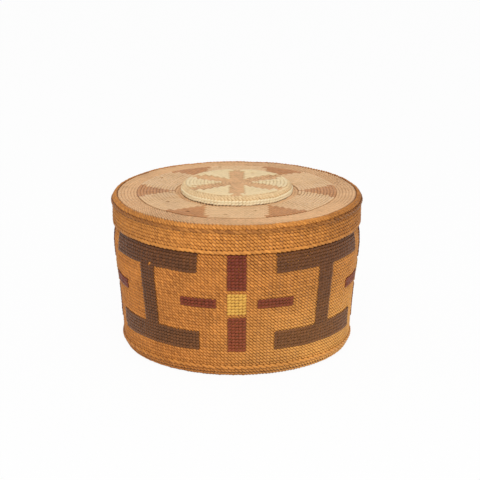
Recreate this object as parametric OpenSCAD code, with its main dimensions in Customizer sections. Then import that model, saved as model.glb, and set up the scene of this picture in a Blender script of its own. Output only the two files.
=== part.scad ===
// Twined root basket with a cap lid that carries a closed rattle drum.
// Origin on the ground at the centre of the base, +Z up, front of the pattern towards -Y.

/* [Weave] */
// Stitches in one round of the wall
stitches_round = 208; // [176:8:240]
// Height of one row of twining
row_h = 1.9; // [1.6:0.05:2.2]
// Thickness of one weft layer
weft_t = 0.6; // [0.45:0.05:0.8]
// Thickness of a warp splint
warp_t = 0.8; // [0.6:0.05:1.1]
// Width of a warp splint on the wall
warp_w = 2.4; // [1.4:0.1:3]
// Number of warp splints in the basket, and in the lid
warp_count = 72; // [36:4:84]
// Thickness of the grass overlay that makes the pattern
grass_t = 0.4; // [0.25:0.05:0.6]
// Gap between layers that lie on each other
lay_gap = 0.05; // [0.02:0.01:0.1]

/* [Basket] */
// Outer diameter of the wall where it leaves the turn of the base
foot_d = 137.2; // [124:0.2:142]
// Outer diameter of the wall at its mouth, under the lid
mouth_d = 144; // [143:0.2:160]
// How far the wall swells outside a straight line from its foot to its mouth
swell = 2.1; // [0:0.1:2.2]
// Height of the basket from the ground to the top of its rim
basket_h = 91; // [80:0.5:120]
// Radius of the turn from the base to the wall
turn_r = 5.5; // [4:0.5:9]
// Height of the braid that closes the rim
rim_h = 3; // [2.4:0.1:5]
// Radius at the middle of the base and of the cap where the splints start
warp_start_r = 7; // [5:0.5:12]

/* [Ridges] */
// Height of a three-strand ridge along the wall
ridge_w = 2.4; // [1.6:0.1:3.2]
// How far a three-strand ridge stands proud
ridge_t = 0.7; // [0.4:0.05:1.2]

/* [Lid] */
// Clearance on the radius between the skirt and the wall
lid_gap = 0.4; // [0.3:0.05:0.8]
// Clearance between the rim and the underside of the lid
seat_gap = 0.3; // [0.3:0.05:0.6]
// Height of the skirt, from its edge to the top of the lid
skirt_h = 17.2; // [12:0.2:24]
// Radius of the lid's shoulder and of the cap's edge
bend_r = 2.6; // [2.5:0.1:4]
// Height of the braid at the skirt's edge
edge_h = 2.4; // [2.2:0.1:4]

/* [Rattle] */
// Outer diameter of the rattle drum
drum_d = 66; // [56:1:70]
// Height of the drum above the top of the lid
drum_h = 5.4; // [5.2:0.1:12]
// Thickness of the floor that closes the drum from below
floor_t = 1.2; // [0.8:0.1:2]
// How far the floor laps under the lid outside the drum
floor_lap = 4; // [2:0.5:8]
// Width of the widest stone
stone_w = 7.2; // [6:0.1:9]
// Share by which the other stones get narrower, one after another
stone_spread = 0.04; // [0:0.01:0.05]
// Thickness of a stone
stone_t = 3.2; // [2.4:0.1:3.4]
// Radius of the ring on which the outer stones lie
stone_ring_r = 17; // [11:0.5:19]
// Gap under a stone at rest
stone_gap = 0.15; // [0.1:0.05:0.3]

/* [Wall pattern] */
// Lowest point of the pattern above the ground
pattern_foot = 16.5; // [12:0.5:22]
// Distance between the pattern and the lid's edge
pattern_margin = 0.5; // [0.3:0.1:4]
// Rows in a long bar of a dark frame
bar_rows = 6; // [5:1:8]
// Stitches from the middle of a dark frame to the end of its bars
bar_stitches = 15.5; // [12.5:1:17.5]
// Stitches from the middle of a dark frame to the side of its stem
stem_stitches = 2.5; // [1.5:1:5.5]
// Rows in the yellow centre of a cross
centre_rows = 7; // [3:2:9]
// Stitches from the middle of a cross to the side of its yellow centre
centre_stitches = 2.5; // [1.5:1:4.5]
// Stitches from the middle of a cross to the side of its red uprights
upright_stitches = 2.5; // [1.5:1:4.5]
// Rows left bare between the yellow centre and a red upright
upright_gap_rows = 1; // [1:1:3]
// Rows in a red crossbar
cross_rows = 3; // [3:2:9]
// Stitches left bare between the yellow centre and a red crossbar
cross_gap_stitches = 3; // [1:1:3]
// Stitches along a red crossbar
cross_stitches = 10; // [6:1:11]

/* [Lid pattern] */
// Inner radius of the ring of straw work on the lid
ring_in = 36.8; // [36:0.2:40]
// Number of steps across the ring
ring_steps = 6; // [4:1:8]
// Width of one step, along the radius
ring_step_w = 3.8; // [2.4:0.1:4]
// Half the angle by which each step of a red point widens
point_step_deg = 2.2; // [1.2:0.1:2.6]
// Inner radius of the petals on the cap
petal_in = 9; // [6:0.5:11]
// Number of steps along a petal
petal_steps = 5; // [3:1:6]
// Half the angle by which each step of a petal widens
petal_step_deg = 4.8; // [3:0.2:5]

/* [Hidden] */
$fn = 64;
CROSSES = 4;
POINTS = 6;
STONES = 7;
MIDDLE_STONE = 1;
FRONT = -90;
COUNT_SLACK = 0.001;
WALL_KNOTS = 10;
SWELL_POWER = 4;

// One layered wall: outer weft, splint, inner weft
splint_in = weft_t + lay_gap;
splint_out = splint_in + warp_t;
inner_in = splint_out + lay_gap;
fabric_t = inner_in + weft_t;

foot_r = foot_d / 2;
mouth_r = mouth_d / 2;
base_r = foot_r - turn_r;
rim_z = basket_h - rim_h;

lid_r = mouth_r + lid_gap + fabric_t;
lid_under_z = basket_h + seat_gap;
top_z = lid_under_z + fabric_t;
edge_z = top_z - skirt_h;
skirt_foot_z = edge_z + edge_h + lay_gap;

drum_r = drum_d / 2;
cap_z = top_z + drum_h;
floor_z = lid_under_z - lay_gap;

stitch_deg = 360 / stitches_round;
cross_deg = 360 / CROSSES;
half_rows = floor((edge_z - pattern_margin - pattern_foot) / row_h + COUNT_SLACK) / 2;
pattern_z = pattern_foot + half_rows * row_h;
point_deg = 360 / POINTS;

// Share of the swell along the wall, from 0 at both ends to 1 under the lid's edge
function swell_share(t) = pow(t, SWELL_POWER) * (1 - t)
    * pow(SWELL_POWER + 1, SWELL_POWER + 1) / pow(SWELL_POWER, SWELL_POWER);

// Height and outer radius of each knot of the wall, from the turn to the lid's edge
wall_knots = [
    for (i = [0 : WALL_KNOTS]) let (t = i / WALL_KNOTS)
        [turn_r + (edge_z - turn_r) * t, foot_r + (mouth_r - foot_r) * t + swell * swell_share(t)]
];

// Outer radius of the basket's wall at a height between the turn and the lid's edge
function wall_r(z) = lookup(z, wall_knots);

// Two heights on the wall and those of the knots between them
function wall_heights(z0, z1) = concat(
    [z0], [for (knot = wall_knots) if (knot[0] > z0 + lay_gap && knot[0] < z1 - lay_gap) knot[0]], [z1]);

// Height of a row of the pattern, counted from the pattern's middle
function row_z(row) = pattern_z + row * row_h;

// Outline between two radii and two heights
module ring_section(r0, r1, z0, z1) {
    translate([r0, z0]) square([r1 - r0, z1 - z0]);
}

// Quarter of a ring between two radii, in the quadrant that side_x and side_z name
module bend_section(r0, r1, side_x, side_z) {
    intersection() {
        difference() {
            circle(r1);
            circle(r0);
        }
        translate([side_x > 0 ? 0 : -r1, side_z > 0 ? 0 : -r1]) square(r1);
    }
}

// Rounded bead on the outside of a surface of radius r, in the middle at height z
module bead_section(r, z) {
    round_r = (ridge_w * ridge_w / 4 + ridge_t * ridge_t) / (2 * ridge_t);
    translate([r, z]) intersection() {
        translate([ridge_t - round_r, 0]) circle(round_r);
        translate([0, -ridge_w]) square([2 * ridge_t, 2 * ridge_w]);
    }
}

// Layer along the wall between two heights and two distances outside its outer face
module wall_layer(z0, z1, out0, out1) {
    heights = wall_heights(z0, z1);
    polygon(concat(
        [for (z = heights) [wall_r(z) + out1, z]],
        [for (i = [len(heights) - 1 : -1 : 0]) [wall_r(heights[i]) + out0, heights[i]]]
    ));
}

// Layer of the basket's wall between two depths below its outer face
module wall_section(d0, d1) {
    translate([base_r, turn_r]) bend_section(turn_r - d1, turn_r - d0, 1, -1);
    wall_layer(turn_r, edge_z, -d1, -d0);
    ring_section(mouth_r - d1, mouth_r - d0, edge_z, rim_z - lay_gap);
}

// Layer of the lid's skirt and shoulder between two depths below its outer face
module skirt_section(d0, d1) {
    translate([lid_r - bend_r, top_z - bend_r]) bend_section(bend_r - d1, bend_r - d0, 1, 1);
    ring_section(lid_r - d1, lid_r - d0, skirt_foot_z, top_z - bend_r);
}

// Layer of the drum's side and its rounded upper edge between two depths below its outer face
module drum_section(z0, d0, d1) {
    translate([drum_r - bend_r, cap_z - bend_r]) bend_section(bend_r - d1, bend_r - d0, 1, 1);
    ring_section(drum_r - d1, drum_r - d0, z0, cap_z - bend_r);
}

// Part of a turn of an outline, over a number of degrees from a start angle
module sweep(start_deg, sweep_deg) {
    rotate(start_deg) rotate_extrude(angle = sweep_deg) children();
}

// Band of overlay on the wall between two stitches and two rows, counted from the pattern's middle
module wall_band(stitch0, stitch1, row0, row1) {
    z0 = row_z(min(row0, row1)) + lay_gap / 2;
    z1 = row_z(max(row0, row1)) - lay_gap / 2;
    sweep(FRONT + min(stitch0, stitch1) * stitch_deg, abs(stitch1 - stitch0) * stitch_deg)
        wall_layer(z0, z1, lay_gap, lay_gap + grass_t);
}

// Band of overlay on a flat top, in one step along the radius, over a number of degrees
module flat_band(z, r, step_w, start_deg, sweep_deg) {
    sweep(start_deg, sweep_deg)
        ring_section(r + lay_gap / 2, r + step_w - lay_gap / 2, z + lay_gap, z + lay_gap + grass_t);
}

// Flat radial splints that follow an outline, evenly spaced round the axis
module splints(r) {
    splint_deg = warp_w / r * 180 / PI;
    for (i = [0 : warp_count - 1])
        sweep(FRONT - splint_deg / 2 + i * 360 / warp_count, splint_deg) children();
}

// Braid that closes an edge of the full thickness, rounded at its free side
module braid_section(r_out, z_free, z_joined) {
    round_r = fabric_t / 2;
    up = z_free > z_joined ? 1 : -1;
    translate([r_out - round_r, z_free - up * round_r]) circle(round_r);
    ring_section(r_out - fabric_t, r_out, min(z_joined, z_free - up * round_r),
        max(z_joined, z_free - up * round_r));
}

module base_outer_weft() {
    color("peru") cylinder(r = base_r - lay_gap, h = weft_t);
}

module base_inner_weft() {
    color("burlywood") translate([0, 0, inner_in]) cylinder(r = base_r - lay_gap, h = weft_t);
}

module base_ridge() {
    widest_r = max(wall_r(turn_r), wall_r(turn_r + ridge_w));
    color("sienna") rotate_extrude() bead_section(widest_r + lay_gap, turn_r + ridge_w / 2);
}

module basket_warps() {
    color("tan") splints(mouth_r) {
        ring_section(warp_start_r, base_r, splint_in, splint_out);
        wall_section(splint_in, splint_out);
    }
}

module wall_outer_weft() {
    color("peru") rotate_extrude() wall_section(0, weft_t);
}

module wall_inner_weft() {
    color("burlywood") rotate_extrude() wall_section(inner_in, fabric_t);
}

module rim_braid() {
    color("sienna") rotate_extrude() braid_section(mouth_r, basket_h, rim_z);
}

// Dark frames between the crosses: a stem with a long bar above and below it
module dark_frames() {
    bar_row = half_rows - bar_rows;
    color("#5b3a28") for (k = [0 : CROSSES - 1]) rotate((k + 0.5) * cross_deg) {
        wall_band(-stem_stitches, stem_stitches, -bar_row, bar_row);
        for (side = [-1, 1])
            wall_band(-bar_stitches, bar_stitches, side * bar_row, side * half_rows);
    }
}

module red_uprights() {
    first_row = centre_rows / 2 + upright_gap_rows;
    color("#7c3a24") for (k = [0 : CROSSES - 1], side = [-1, 1]) rotate(k * cross_deg)
        wall_band(-upright_stitches, upright_stitches, side * first_row, side * half_rows);
}

module red_crossbars() {
    first_stitch = centre_stitches + cross_gap_stitches;
    last_stitch = first_stitch + cross_stitches;
    color("#86452c") for (k = [0 : CROSSES - 1], side = [-1, 1]) rotate(k * cross_deg)
        wall_band(side * first_stitch, side * last_stitch, -cross_rows / 2, cross_rows / 2);
}

module yellow_centres() {
    color("goldenrod") for (k = [0 : CROSSES - 1]) rotate(k * cross_deg)
        wall_band(-centre_stitches, centre_stitches, -centre_rows / 2, centre_rows / 2);
}

module skirt_outer_weft() {
    color("peru") rotate_extrude() skirt_section(0, weft_t);
}

module lid_top_outer_weft() {
    color("tan") rotate_extrude()
        ring_section(drum_r - weft_t, lid_r - bend_r - lay_gap, top_z - weft_t, top_z);
}

module drum_outer_weft() {
    color("burlywood") rotate_extrude() drum_section(top_z + lay_gap, 0, weft_t);
}

module cap_outer_weft() {
    color("tan") translate([0, 0, cap_z - weft_t])
        cylinder(r = drum_r - bend_r - lay_gap, h = weft_t);
}

// Lining of the whole lid, from the middle of the cap to the edge of the skirt
module lid_inner_weft() {
    color("burlywood") rotate_extrude() {
        ring_section(0, drum_r - bend_r, cap_z - fabric_t, cap_z - inner_in);
        drum_section(lid_under_z, inner_in, fabric_t);
        ring_section(drum_r - fabric_t, lid_r - bend_r, lid_under_z, lid_under_z + weft_t);
        skirt_section(inner_in, fabric_t);
    }
}

// Splints that run from the cap down the drum, across the lid and down the skirt
module lid_warps() {
    color("tan") splints(lid_r) {
        ring_section(warp_start_r, drum_r - bend_r, cap_z - splint_out, cap_z - splint_in);
        drum_section(top_z - splint_out, splint_in, splint_out);
        ring_section(drum_r - splint_out, lid_r - bend_r, top_z - splint_out, top_z - splint_in);
        skirt_section(splint_in, splint_out);
    }
}

module shoulder_ridge() {
    color("sienna") rotate_extrude()
        bead_section(lid_r + lay_gap, top_z - bend_r - ridge_w / 2);
}

module skirt_edge_braid() {
    color("sienna") rotate_extrude() braid_section(lid_r, edge_z, edge_z + edge_h);
}

module rattle_floor() {
    color("burlywood") translate([0, 0, floor_z - floor_t])
        cylinder(r = drum_r + floor_lap, h = floor_t);
}

// Straw work on the lid: what the red points leave bare of the ring
module lid_straw_ring() {
    color("wheat") for (k = [0 : POINTS - 1], step = [0 : ring_steps - 1]) {
        bare_deg = (step + 1) * point_step_deg + stitch_deg / 4;
        flat_band(top_z, ring_in + step * ring_step_w, ring_step_w,
            k * point_deg + bare_deg, point_deg - 2 * bare_deg);
    }
}

// Red stepped points that widen towards the lid's edge
module lid_red_points() {
    color("#b9724f") for (k = [0 : POINTS - 1], step = [0 : ring_steps - 1]) {
        half_deg = (step + 1) * point_step_deg;
        flat_band(top_z, ring_in + step * ring_step_w, ring_step_w, k * point_deg - half_deg, 2 * half_deg);
    }
}

module drum_straw_band() {
    color("wheat") rotate_extrude()
        ring_section(drum_r + lay_gap, drum_r + lay_gap + grass_t, top_z + lay_gap, cap_z - bend_r);
}

module cap_straw_petals() {
    step_w = (drum_r - bend_r - petal_in) / petal_steps;
    color("wheat") for (k = [0 : POINTS - 1], step = [0 : petal_steps - 1]) {
        half_deg = (step + 1) * petal_step_deg;
        flat_band(cap_z, petal_in + step * step_w, step_w, k * point_deg - half_deg, 2 * half_deg);
    }
}

// Water-worn stone: one in the middle of the drum's floor, the others in a ring round it
module rattle_stone(i) {
    on_ring = i == MIDDLE_STONE ? 0 : stone_ring_r;
    turn = (i - MIDDLE_STONE) * 360 / (STONES - 1);
    round_r = stone_t / 2;
    flat_r = stone_w / 2 * (1 - stone_spread * (i - MIDDLE_STONE)) - round_r;
    color("slategray") rotate(turn) translate([on_ring, 0, floor_z + stone_gap + round_r])
        rotate_extrude() {
            translate([flat_r, 0]) {
                bend_section(0, round_r, 1, 1);
                bend_section(0, round_r, 1, -1);
            }
            ring_section(0, flat_r, -round_r, round_r);
        }
}

base_outer_weft();
base_inner_weft();
base_ridge();
basket_warps();
wall_outer_weft();
wall_inner_weft();
rim_braid();
dark_frames();
red_uprights();
red_crossbars();
yellow_centres();
skirt_outer_weft();
lid_top_outer_weft();
drum_outer_weft();
cap_outer_weft();
lid_inner_weft();
lid_warps();
shoulder_ridge();
skirt_edge_braid();
rattle_floor();
lid_straw_ring();
lid_red_points();
drum_straw_band();
cap_straw_petals();
rattle_stone(1);  // rattle_stone_1
rattle_stone(2);  // rattle_stone_2
rattle_stone(3);  // rattle_stone_3
rattle_stone(4);  // rattle_stone_4
rattle_stone(5);  // rattle_stone_5
rattle_stone(6);  // rattle_stone_6
rattle_stone(7);  // rattle_stone_7
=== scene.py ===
"""Dresses a twined root basket: woven base, wall and lid, grass overlay, braids and rattle stones."""

import logging
import math
from collections.abc import Callable, Iterable
from dataclasses import dataclass, field
from enum import Enum
from functools import partial
from itertools import groupby
from typing import ClassVar

import bmesh
import bpy
import numpy as np
from mathutils import Matrix, Vector, noise


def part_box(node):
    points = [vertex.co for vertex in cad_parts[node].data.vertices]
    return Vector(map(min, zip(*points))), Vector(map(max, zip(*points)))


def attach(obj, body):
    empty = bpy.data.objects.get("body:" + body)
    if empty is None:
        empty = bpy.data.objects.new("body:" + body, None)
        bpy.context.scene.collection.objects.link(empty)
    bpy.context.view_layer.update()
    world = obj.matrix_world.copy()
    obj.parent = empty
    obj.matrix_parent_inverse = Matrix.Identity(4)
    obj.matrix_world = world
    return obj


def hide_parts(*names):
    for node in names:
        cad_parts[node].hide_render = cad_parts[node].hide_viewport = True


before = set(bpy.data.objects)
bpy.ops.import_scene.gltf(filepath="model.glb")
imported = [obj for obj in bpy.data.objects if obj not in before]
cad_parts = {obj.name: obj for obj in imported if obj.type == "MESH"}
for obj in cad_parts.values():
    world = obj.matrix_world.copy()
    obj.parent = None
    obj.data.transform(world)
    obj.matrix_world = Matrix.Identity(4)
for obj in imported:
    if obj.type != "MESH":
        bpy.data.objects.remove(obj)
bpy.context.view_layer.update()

LOG = logging.getLogger("basket")
MM = 0.001
TURN = 2 * math.pi
UP = math.pi / 2
FRONT = -math.pi / 2
SEED = 17
WEAR_SEED = 20
WHITE = (1.0, 1.0, 1.0, 1.0)

Shade = tuple[int, int, int]
Sockets = bpy.types.bpy_prop_collection
NodeAt = Callable[[int], str | None]


def linear(shade: Shade) -> tuple[float, float, float, float]:
    """Turns a colour as seen on a screen into the linear colour that a shader takes.

    Args:
        shade: Red, green and blue, from 0 to 255.

    Returns:
        Linear red, green, blue and an alpha of 1.
    """
    shares = (channel / 255 for channel in shade)
    channels = (s / 12.92 if s <= 0.04045 else ((s + 0.055) / 1.055) ** 2.4 for s in shares)
    return (*channels, 1.0)


@dataclass(frozen=True)
class Span:
    """A range of values, and the range that it is mapped to."""

    low: float
    high: float
    to_low: float = 0.0
    to_high: float = 1.0


@dataclass(frozen=True)
class Cloud:
    """A noise: how fine it is, how many finer layers it has and how much these show."""

    scale: float
    detail: float
    roughness: float


class Tree:
    """A node tree with short calls to add and link nodes.

    The Mix node's colour sockets share their names with its other sockets, so they go by number.
    """

    FIRST_COLOUR = 6
    SECOND_COLOUR = 7
    MIXED_COLOUR = 2

    def __init__(self, nodes: bpy.types.NodeTree) -> None:
        """Keeps the tree that the nodes go into."""
        self.tree = nodes

    def add(self, kind: str, **inputs: object) -> bpy.types.Node:
        """Adds a node and fills its inputs.

        Args:
            kind: The node's type name, without the ShaderNode at its start.
            inputs: Values or output sockets, by the input's name, with _ for a space. A name
                that is a setting of the node and not an input sets it.

        Returns:
            The new node.
        """
        node = self.tree.nodes.new("ShaderNode" + kind)
        settings = {k: v for k, v in inputs.items() if hasattr(node, k)}
        for name, value in settings.items():
            setattr(node, name, value)
        for name, value in inputs.items():
            if name not in settings:
                self.feed(node.inputs[name.replace("_", " ")], value)
        return node

    def feed(self, socket: bpy.types.NodeSocket, value: object) -> None:
        """Links a socket to an output, or sets its value.

        Args:
            socket: The input.
            value: The output or the value that it gets.
        """
        if isinstance(value, bpy.types.NodeSocket):
            self.tree.links.new(value, socket)
        else:
            socket.default_value = value

    def maths(self, operation: str, *values: object) -> bpy.types.NodeSocket:
        """Adds a Math node.

        Args:
            operation: The node's operation.
            values: Its inputs, in order.

        Returns:
            The node's output.
        """
        node = self.add("Math", operation=operation)
        for socket, value in zip(node.inputs, values):
            self.feed(socket, value)
        return node.outputs[0]

    def blend(self, share: object, first: object, second: object) -> bpy.types.NodeSocket:
        """Mixes two colours.

        Args:
            share: How much of the second colour there is, from 0 to 1.
            first, second: Colours or colour outputs.

        Returns:
            The mixed colour.
        """
        node = self.add("Mix", data_type="RGBA", Factor=share)
        self.feed(node.inputs[self.FIRST_COLOUR], first)
        self.feed(node.inputs[self.SECOND_COLOUR], second)
        return node.outputs[self.MIXED_COLOUR]

    def ramp(self, value: object, span: Span) -> bpy.types.NodeSocket:
        """Maps a value from one range to another, smoothly and held at the ends.

        Args:
            value: The value or output to map.
            span: The two ranges.

        Returns:
            The mapped value.
        """
        node = self.add("MapRange", interpolation_type="SMOOTHSTEP", Value=value, From_Min=span.low,
                        From_Max=span.high, To_Min=span.to_low, To_Max=span.to_high)
        return node.outputs[0]

    def cloud(self, place: bpy.types.NodeSocket, cloud: Cloud) -> bpy.types.NodeSocket:
        """Adds a noise.

        Args:
            place: The coordinates that it reads.
            cloud: The noise.

        Returns:
            Its value.
        """
        node = self.add("TexNoise", Vector=place, Scale=cloud.scale, Detail=cloud.detail,
                        Roughness=cloud.roughness)
        return node.outputs[0]

    def roughen(self, shader: Sockets, grain: bpy.types.NodeSocket, rough: Span, relief: float,
                depth: float) -> None:
        """Lets a grain set a shader's roughness and stand out as relief.

        Args:
            shader: The shader's inputs.
            grain: The grain.
            rough: How it turns into roughness.
            relief: How strongly it stands out.
            depth: How deep it is.
        """
        self.feed(shader["Roughness"], self.ramp(grain, rough))
        bump = self.add("Bump", Strength=relief, Distance=depth, Height=grain)
        self.feed(shader["Normal"], bump.outputs[0])


class Groups:
    """Shader groups that several finishes share, each built once."""

    STREAKS = Cloud(1.6, 3.0, 0.6)
    STREAK_SPAN = Span(0.3, 0.7)
    TONE_STEP = 97.0
    PATCHES = Cloud(38.0, 4.0, 0.65)
    SPECKS = Cloud(420.0, 2.0, 0.6)
    GROOVE_SOIL_AND_SHADE = Span(0.1, 0.75, 1.0, 0.0)
    PATCH_SOIL = Span(0.42, 0.7, 0.0, 0.35)
    FOOT_SOIL = Span(0.0, 18 * MM, 0.4, 0.0)
    LIT_RIGHT_FOOT = Span(0.0, 55 * MM, 1.0, 0.1)
    SHADED_SIDES = Span(25 * MM, 75 * MM)
    LIT_SIDE = Span(-40 * MM, 80 * MM)
    LIT_BELOW = Span(10 * MM, 60 * MM, 1.0, 0.25)
    LIGHTER_BELOW = Span(15 * MM, 75 * MM, 1.0, 0.0)
    CROWNS = Span(0.8, 1.0)
    RUBBED_SPECKS = Span(0.45, 0.7)

    @staticmethod
    def start(name: str, inputs: dict[str, float],
              outputs: Iterable[str]) -> tuple[Tree, Sockets, Sockets]:
        """Starts a group with float sockets.

        Args:
            name: The group's name.
            inputs: Names of its inputs, with their usual values.
            outputs: Names of its outputs.

        Returns:
            The group's tree, what it is given, and what it puts out.
        """
        group = bpy.data.node_groups.new(name, "ShaderNodeTree")
        for socket, value in inputs.items():
            made = group.interface.new_socket(socket, in_out="INPUT", socket_type="NodeSocketFloat")
            made.default_value = value
        for socket in outputs:
            group.interface.new_socket(socket, in_out="OUTPUT", socket_type="NodeSocketFloat")
        given = group.nodes.new("NodeGroupInput").outputs
        return Tree(group), given, group.nodes.new("NodeGroupOutput").inputs

    @classmethod
    def fibre(cls) -> bpy.types.NodeTree:
        """Fine streaks along a split strand, different on every stitch.

        Returns:
            The group, with the strand's tone and the number of streaks as inputs.
        """
        if "strand_fibre" in bpy.data.node_groups:
            return bpy.data.node_groups["strand_fibre"]
        tree, given, out = cls.start("strand_fibre", {"Tone": 0.5, "Streaks": 9.0}, ("Fibre",))
        strand = tree.add("UVMap", uv_map="Strand")
        at = tree.add("SeparateXYZ", Vector=strand.outputs[0]).outputs
        across = tree.maths("MULTIPLY", at["X"], given["Streaks"])
        apart = tree.maths("MULTIPLY", given["Tone"], cls.TONE_STEP)
        place = tree.add("CombineXYZ", X=across, Y=at["Y"], Z=apart).outputs[0]
        tree.feed(out["Fibre"], tree.ramp(tree.cloud(place, cls.STREAKS), cls.STREAK_SPAN))
        return tree.tree

    @classmethod
    def age(cls) -> bpy.types.NodeTree:
        """Soil and painted shade in the grooves, painted shade at the sides, crowns rubbed pale,
        painted light on the right and paler low down.

        Returns:
            The group, with the height of the stitch's surface and the amounts as inputs.
        """
        if "weave_soil_wear_and_light" in bpy.data.node_groups:
            return bpy.data.node_groups["weave_soil_wear_and_light"]
        amounts = {"Crown": 1.0, "Soil": 0.6, "Rub": 0.3, "Fade": 0.0, "Low": 0.0, "Grip": 0.0}
        tree, given, out = cls.start("weave_soil_wear_and_light", amounts, ("SoiledAndShaded", "Rubbed", "Lightened"))
        place = tree.add("TexCoord").outputs["Object"]
        at = tree.add("SeparateXYZ", Vector=place).outputs
        # Darker between the stitches, where the crown is low: partly soil in the grooves, partly
        # painted shade of the grooves.
        groove = tree.ramp(given["Crown"], cls.GROOVE_SOIL_AND_SHADE)
        patchy = tree.ramp(tree.cloud(place, cls.PATCHES), cls.PATCH_SOIL)
        near_ground = tree.ramp(at["Z"], cls.FOOT_SOIL)
        # Painted light: the darkening near the ground fades out towards the right, where light
        # brightens the foot.
        foot = tree.maths("MULTIPLY", near_ground, tree.ramp(at["X"], cls.LIT_RIGHT_FOOT))
        soil_and_shade = tree.maths("ADD", groove, tree.maths("ADD", patchy, foot))
        # Painted shade: darker towards the left and right sides, as seen from the front, where the
        # light falls off.
        sides = tree.ramp(tree.maths("ABSOLUTE", at["X"]), cls.SHADED_SIDES)
        side_shaded = tree.maths("MULTIPLY", sides, given["Grip"])
        soiled_and_shaded = tree.maths("MULTIPLY_ADD", soil_and_shade, given["Soil"], side_shaded)
        tree.feed(out["SoiledAndShaded"], tree.maths("MINIMUM", soiled_and_shaded, 1.0))
        specks = tree.ramp(tree.cloud(place, cls.SPECKS), cls.RUBBED_SPECKS)
        worn = tree.maths("MULTIPLY", tree.ramp(given["Crown"], cls.CROWNS), specks)
        tree.feed(out["Rubbed"], tree.maths("MULTIPLY", worn, given["Rub"]))
        # Painted light: paler towards the right and lower down, where light brightens the wall.
        lit_side = tree.ramp(at["X"], cls.LIT_SIDE)
        lit = tree.maths("MULTIPLY", lit_side, tree.ramp(at["Z"], cls.LIT_BELOW))
        paled = tree.maths("MULTIPLY", lit, given["Fade"])
        # Paler towards the bottom, by the strand's low amount.
        low = tree.ramp(at["Z"], cls.LIGHTER_BELOW)
        tree.feed(out["Lightened"], tree.maths("MULTIPLY_ADD", low, given["Low"], paled))
        return tree.tree


@dataclass(frozen=True)
class Finish:
    """What every finish has: its name, its slot, and a deep and a light shade."""

    name: str
    slot: str
    deep: Shade
    light: Shade

    def material(self) -> bpy.types.Material:
        """The finish as a material, built when it is first asked for."""
        return bpy.data.materials.get(self.name) or self.build()

    def start(self) -> tuple[Tree, Sockets]:
        """Starts the material.

        Returns:
            Its tree, and the inputs of its shader.
        """
        made = bpy.data.materials.new(self.name)
        made.use_nodes = True
        return Tree(made.node_tree), made.node_tree.nodes["Principled BSDF"].inputs

    def build(self) -> bpy.types.Material:
        """Builds the material, in the way of each kind of finish."""
        raise NotImplementedError


@dataclass(frozen=True)
class StrandFinish(Finish):
    """How a kind of strand looks."""

    # groove is the dark colour for soil and for the painted shade between the stitches and at the
    # sides.
    groove: Shade
    # The pale colour of crowns rubbed by wear, also the colour of the painted light.
    worn_and_lit: Shade
    roughness: float
    streaks: float = 9.0
    soil_and_shade: float = 0.6
    rub: float = 0.3
    relief: float = 0.35
    gloss: float = 0.25
    # How much painted light pales the strand towards the right and lower down.
    painted_lit_side: float = 0.0
    low: float = 0.0
    # How much painted shade darkens the left and right sides.
    side_shade: float = 0.0

    TONE_SHARE: ClassVar[float] = 0.7
    FIBRE_SHARE: ClassVar[float] = 0.3
    ROUGH_HALF: ClassVar[float] = 0.08
    RELIEF_DEPTH: ClassVar[float] = 0.15 * MM

    def build(self) -> bpy.types.Material:
        """Builds the material, which reads the stitches' own tone, crown and strand map.

        Returns:
            The material.
        """
        tree, shader = self.start()
        tone = tree.add("Attribute", attribute_name="tone").outputs["Fac"]
        crown = tree.add("Attribute", attribute_name="crown").outputs["Fac"]
        fibre = tree.add("Group", node_tree=Groups.fibre(), Tone=tone, Streaks=self.streaks).outputs[0]
        age = tree.add("Group", node_tree=Groups.age(), Crown=crown, Soil=self.soil_and_shade, Rub=self.rub,
                       Fade=self.painted_lit_side, Low=self.low, Grip=self.side_shade).outputs
        share = tree.maths("ADD", tree.maths("MULTIPLY", tone, self.TONE_SHARE),
                           tree.maths("MULTIPLY", fibre, self.FIBRE_SHARE))
        strand = tree.blend(share, linear(self.deep), linear(self.light))
        # Painted light on the right, low side, and paler low down on some strands, towards the pale
        # colour.
        faded = tree.blend(age["Lightened"], strand, linear(self.worn_and_lit))
        # Darkens towards the groove colour: soil, and painted shade in the grooves and at the sides.
        soiled_and_shaded = tree.blend(age["SoiledAndShaded"], faded, linear(self.groove))
        tree.feed(shader["Base Color"], tree.blend(age["Rubbed"], soiled_and_shaded, linear(self.worn_and_lit)))
        shader["Specular IOR Level"].default_value = self.gloss
        rough = Span(0.0, 1.0, self.roughness + self.ROUGH_HALF, self.roughness - self.ROUGH_HALF)
        tree.roughen(shader, fibre, rough, self.relief, self.RELIEF_DEPTH)
        return bpy.data.materials[self.name]


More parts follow.
